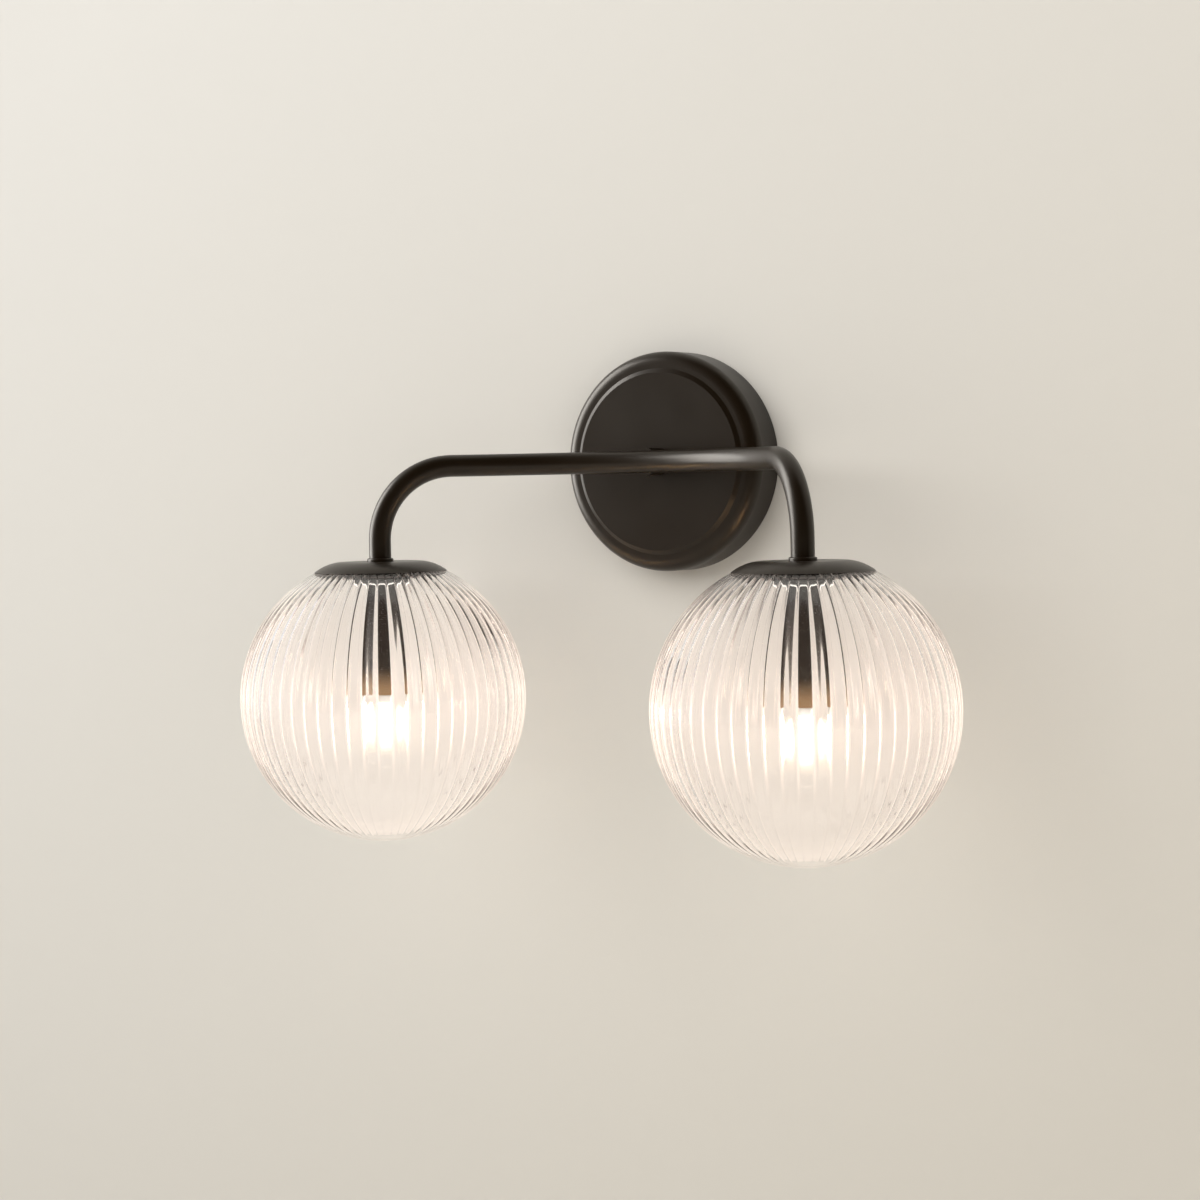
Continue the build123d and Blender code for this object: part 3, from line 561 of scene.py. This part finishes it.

# %% [markdown]
# ## Painted shading that runs from pale to darker
# The painted shading depends on how far a point of the wall lies along one slanting direction, from the lit
# upper left to the shaded lower right. The dot product of place and direction measures that, and a colour
# ramp turns it into a tone.


# %% How far along a direction
def add_along(tree, vector, direction):
    """How far a vector reaches along a direction; returns that output."""
    node = tree.nodes.new("ShaderNodeVectorMath")
    node.operation = "DOT_PRODUCT"
    node.inputs[1].default_value = direction
    tree.links.new(vector, node.inputs[0])
    return node.outputs["Value"]


# %% Wall paint with painted shading
# The two tones are painted light: paler where the window lights the wall, darker where it falls into shade.
WALL_PAINTED_LIT_UPPER_LEFT = (0.745, 0.736, 0.704)
WALL_PAINTED_SHADE_LOWER_RIGHT = (0.645, 0.618, 0.559)
WALL_SHADE_DIRECTION = (0.64, 0.0, -0.77)
WALL_SHADE_SPAN = (-0.49, 0.43)
WALL_SHINE = 0.1
wall_paint = finish("wall_paint", WALL_PAINTED_SHADE_LOWER_RIGHT, 0.9, uneven=0.02)
wall_tree = wall_paint.node_tree
wall_shader = wall_tree.nodes["Principled BSDF"]
wall_shader.inputs["Specular IOR Level"].default_value = WALL_SHINE
wall_place = wall_tree.nodes.new("ShaderNodeTexCoord").outputs["Object"]
shade_share = wall_tree.nodes.new("ShaderNodeMapRange")
shade_share.inputs["From Min"].default_value = WALL_SHADE_SPAN[0]
shade_share.inputs["From Max"].default_value = WALL_SHADE_SPAN[1]
wall_tree.links.new(add_along(wall_tree, wall_place, WALL_SHADE_DIRECTION), shade_share.inputs["Value"])
# This ramp paints the shading into the wall's base colour.
shade = wall_tree.nodes.new("ShaderNodeValToRGB")
for end, colour in zip(shade.color_ramp.elements, (WALL_PAINTED_LIT_UPPER_LEFT, WALL_PAINTED_SHADE_LOWER_RIGHT)):
    end.color = (*colour, 1.0)
wall_tree.links.new(shade_share.outputs["Result"], shade.inputs["Fac"])
wall_tree.links.new(shade.outputs["Color"], wall_shader.inputs["Base Color"])
wall.data.materials.append(wall_paint)
print("wall paint from", WALL_PAINTED_LIT_UPPER_LEFT, "to", WALL_PAINTED_SHADE_LOWER_RIGHT)

# %% Clear from behind
see_through = wall_tree.nodes.new("ShaderNodeBsdfTransparent")
which_face = wall_tree.nodes.new("ShaderNodeNewGeometry")
choose = wall_tree.nodes.new("ShaderNodeMixShader")
wall_tree.links.new(which_face.outputs["Backfacing"], choose.inputs["Fac"])
wall_tree.links.new(wall_shader.outputs["BSDF"], choose.inputs[1])
wall_tree.links.new(see_through.outputs["BSDF"], choose.inputs[2])
wall_tree.links.new(choose.outputs["Shader"], wall_tree.nodes["Material Output"].inputs["Surface"])
print("nodes in the wall paint:", len(wall_tree.nodes))

# %% [markdown]
# ## The floor
# The floor lies well below the lamp. It is never in the portrait, but it throws soft light back up under the
# globes and the canopy, as the floor of a room does.

# %% Pale floor
FLOOR_Z = -0.62
FLOOR_CORNERS = [(-3, -4, FLOOR_Z), (3, -4, FLOOR_Z), (3, 2, FLOOR_Z), (-3, 2, FLOOR_Z)]
floor_data = bpy.data.meshes.new("floor")
floor_data.from_pydata(FLOOR_CORNERS, [], [(0, 1, 2, 3)])
floor_data.materials.append(finish("pale_floor", (0.72, 0.70, 0.66), 0.7))
floor = show("floor", floor_data)
print("floor at", FLOOR_Z)

# %% [markdown]
# ## Lamps
# Daylight comes from a large window close to the wall on the left, which draws the long highlights on the
# tube and the canopy. A softer lamp in front fills the room and a weak one on the right lifts the shadows.
# Two extra highlights from those would look like a studio, so they don't show in reflections.

# %% Window, room and fill
AIM = Vector((0, 0, 0))


def area_lamp(name, place, size, power, colour):
    """A square area lamp at a place, aimed at the canopy."""
    data = bpy.data.lights.new(name, "AREA")
    data.size = size
    data.energy = power
    data.color = colour
    lamp = show(name, data)
    lamp.location = place
    lamp.rotation_euler = (AIM - Vector(place)).to_track_quat("-Z", "Y").to_euler()
    lamp.visible_transmission = False
    print(name, "power:", power)
    return lamp


window_light = area_lamp("window_light", (-1.6, -0.25, 0.42), 1.7, 80.0, (1.0, 0.99, 0.97))
window_light.visible_camera = False
room_light = area_lamp("room_light", (-0.8, -2.2, 1.3), 2.4, 58.0, (1.0, 0.985, 0.965))
fill_light = area_lamp("fill_light", (1.9, -1.8, 0.3), 2.0, 20.0, (1.0, 0.975, 0.945))
room_light.visible_glossy = False
fill_light.visible_glossy = False

# %% [markdown]
# ## Golden glints
# The lit bulbs leave small golden glints on the black metal above them. The bulb's own light could make
# them, but on its way out through the ribs it would take far too many samples. So a small warm point lamp
# sits at each bulb and, by light linking, lights only the canopy, arm and stem.

# %% A warm lamp at each bulb
GLINT_POWER = 1.5
GLINT_RADIUS = 0.0095
GLINT_COLOUR = (1.0, 0.60, 0.26)
glint_receivers = bpy.data.collections.new("glints_fall_on")
for name in ("canopy_shell", "arm_tube", "stem_tube"):
    glint_receivers.objects.link(nodes[name])
for side in SIDES:
    data = bpy.data.lights.new(f"{side}_glint", "POINT")
    data.energy = GLINT_POWER
    data.shadow_soft_size = GLINT_RADIUS
    data.color = GLINT_COLOUR
    glint = show(f"{side}_glint", data)
    glint.location = middle(f"{side}_bulb_envelope")
    glint.visible_camera = False
    glint.visible_transmission = False
    glint.light_linking.receiver_collection = glint_receivers
    print(glint.name, "at", [round(v, 4) for v in glint.location])

# %% [markdown]
# ## The room around the lamp
# Black gloss shows the room that it reflects. An even pale world would turn it grey, so the world has a dark
# end, in front and to the right, like the unlit side of a real room, and it darkens a little upwards and
# downwards. Looked at directly or through the glass, the world stays pale everywhere, so that the globes
# stay clear and the other views have a pale background.

# %% World with one dark end
DARK_END = (0.050, 0.036, 0.022)
BRIGHT_END = (0.9, 0.895, 0.89)
TOWARDS_DARK_END = (0.6, -0.8, 0.0)
STEEPNESS_SHARE = 0.5
DARKNESS_STEP = (-0.1, 0.75)
world = bpy.data.worlds.new("room_light")
bpy.context.scene.world = world
world.use_nodes = True
world_tree = world.node_tree
direction = world_tree.nodes.new("ShaderNodeTexCoord").outputs["Generated"]
towards = add_along(world_tree, direction, TOWARDS_DARK_END)
height = world_tree.nodes.new("ShaderNodeSeparateXYZ")
world_tree.links.new(direction, height.inputs["Vector"])
steepness = add_math(world_tree, "ABSOLUTE", height.outputs["Z"])
steepness = add_math(world_tree, "MULTIPLY", steepness, STEEPNESS_SHARE)
darkness = add_step(world_tree, add_math(world_tree, "ADD", towards, steepness), *DARKNESS_STEP, 0.0, 1.0)
room = world_tree.nodes.new("ShaderNodeMix")
room.data_type = "RGBA"
room.inputs["A"].default_value = (*BRIGHT_END, 1.0)
room.inputs["B"].default_value = (*DARK_END, 1.0)
world_tree.links.new(room.outputs["Result"], world_tree.nodes["Background"].inputs["Color"])
print("world from", BRIGHT_END, "to", DARK_END)

# %% Pale where the world is seen directly
world_path = world_tree.nodes.new("ShaderNodeLightPath").outputs
unreflected = add_step(world_tree, world_path["Glossy Depth"], 0.0, 1.0, 1.0, 0.0)
through_glass = add_math(world_tree, "MULTIPLY", world_path["Is Transmission Ray"], unreflected)
seen_directly = add_math(world_tree, "MAXIMUM", through_glass, world_path["Is Camera Ray"])
reflected = add_math(world_tree, "SUBTRACT", 1.0, seen_directly)
world_tree.links.new(add_math(world_tree, "MULTIPLY", darkness, reflected), room.inputs["Factor"])
print("nodes in the world:", len(world_tree.nodes))

# %% [markdown]
# ## Keeping light off the wall and the glass
# The window stands so close to the wall that it would burn a bright patch on it, and it would draw a hard
# white square on each globe. The glowing bulbs would also throw noisy light on the wall. Light linking
# leaves those pieces out of what a lamp lights, which keeps the highlights on the metal alone.


# %% Leave pieces out of a lamp's light
def spare_from_light(name, spared, lamps):
    """Light linking: the lamps light everything apart from the spared objects."""
    group = bpy.data.collections.new(name)
    for piece in spared:
        group.objects.link(piece)
    for linked in group.collection_objects:
        linked.light_linking.link_state = "EXCLUDE"
    for lamp in lamps:
        lamp.light_linking.receiver_collection = group
    print(name, "spares", [piece.name for piece in spared])


spare_from_light("spared_by_the_bulbs", (wall, floor), [nodes[f"{side}_bulb_envelope"] for side in SIDES])
spare_from_light("spared_by_the_window", (wall, floor, *globes), [window_light])

# %% [markdown]
# ## Camera
# The photograph was taken from the right, at about the height of the arm, with a long lens. A camera could
# be set by eye, but the lamp's own sizes say more: its place and angles below are the ones that bring the
# globes, caps, canopy and tube onto the picture, so the render lines up with it.

# %% Camera from its place and angles
CAMERA_PLACE = (0.71422, -1.27961, -0.0100)
CAMERA_YAW = 30.99
CAMERA_PITCH = 2.57
CAMERA_ROLL = -1.16
FOCAL_OVER_WIDTH = 2646.0 / 1200.0
SENSOR_WIDTH_MM = 36.0
NEAREST_SEEN = 0.01


def aimed_camera(place, *angles):
    """A camera whose yaw turns it left of +Y, whose pitch looks down and whose roll tips its right side up."""
    data = bpy.data.cameras.new("photo_camera")
    data.sensor_width = SENSOR_WIDTH_MM
    data.lens = SENSOR_WIDTH_MM * FOCAL_OVER_WIDTH
    data.clip_start = NEAREST_SEEN
    yaw, pitch, roll = (math.radians(a) for a in angles)
    ahead = Vector((-math.sin(yaw) * math.cos(pitch), math.cos(yaw) * math.cos(pitch), -math.sin(pitch)))
    level = Vector((math.cos(yaw), math.sin(yaw), 0))
    upward = level.cross(ahead)
    right = level * math.cos(roll) + upward * math.sin(roll)
    up = upward * math.cos(roll) - level * math.sin(roll)
    camera = show("photo_camera", data)
    camera.matrix_world = Matrix.Translation(place) @ Matrix((right, up, -ahead)).transposed().to_4x4()
    return camera


bpy.context.scene.camera = aimed_camera(CAMERA_PLACE, CAMERA_YAW, CAMERA_PITCH, CAMERA_ROLL)
bpy.context.scene.view_settings.view_transform = "Standard"
print("lens in mm:", round(bpy.context.scene.camera.data.lens, 2))
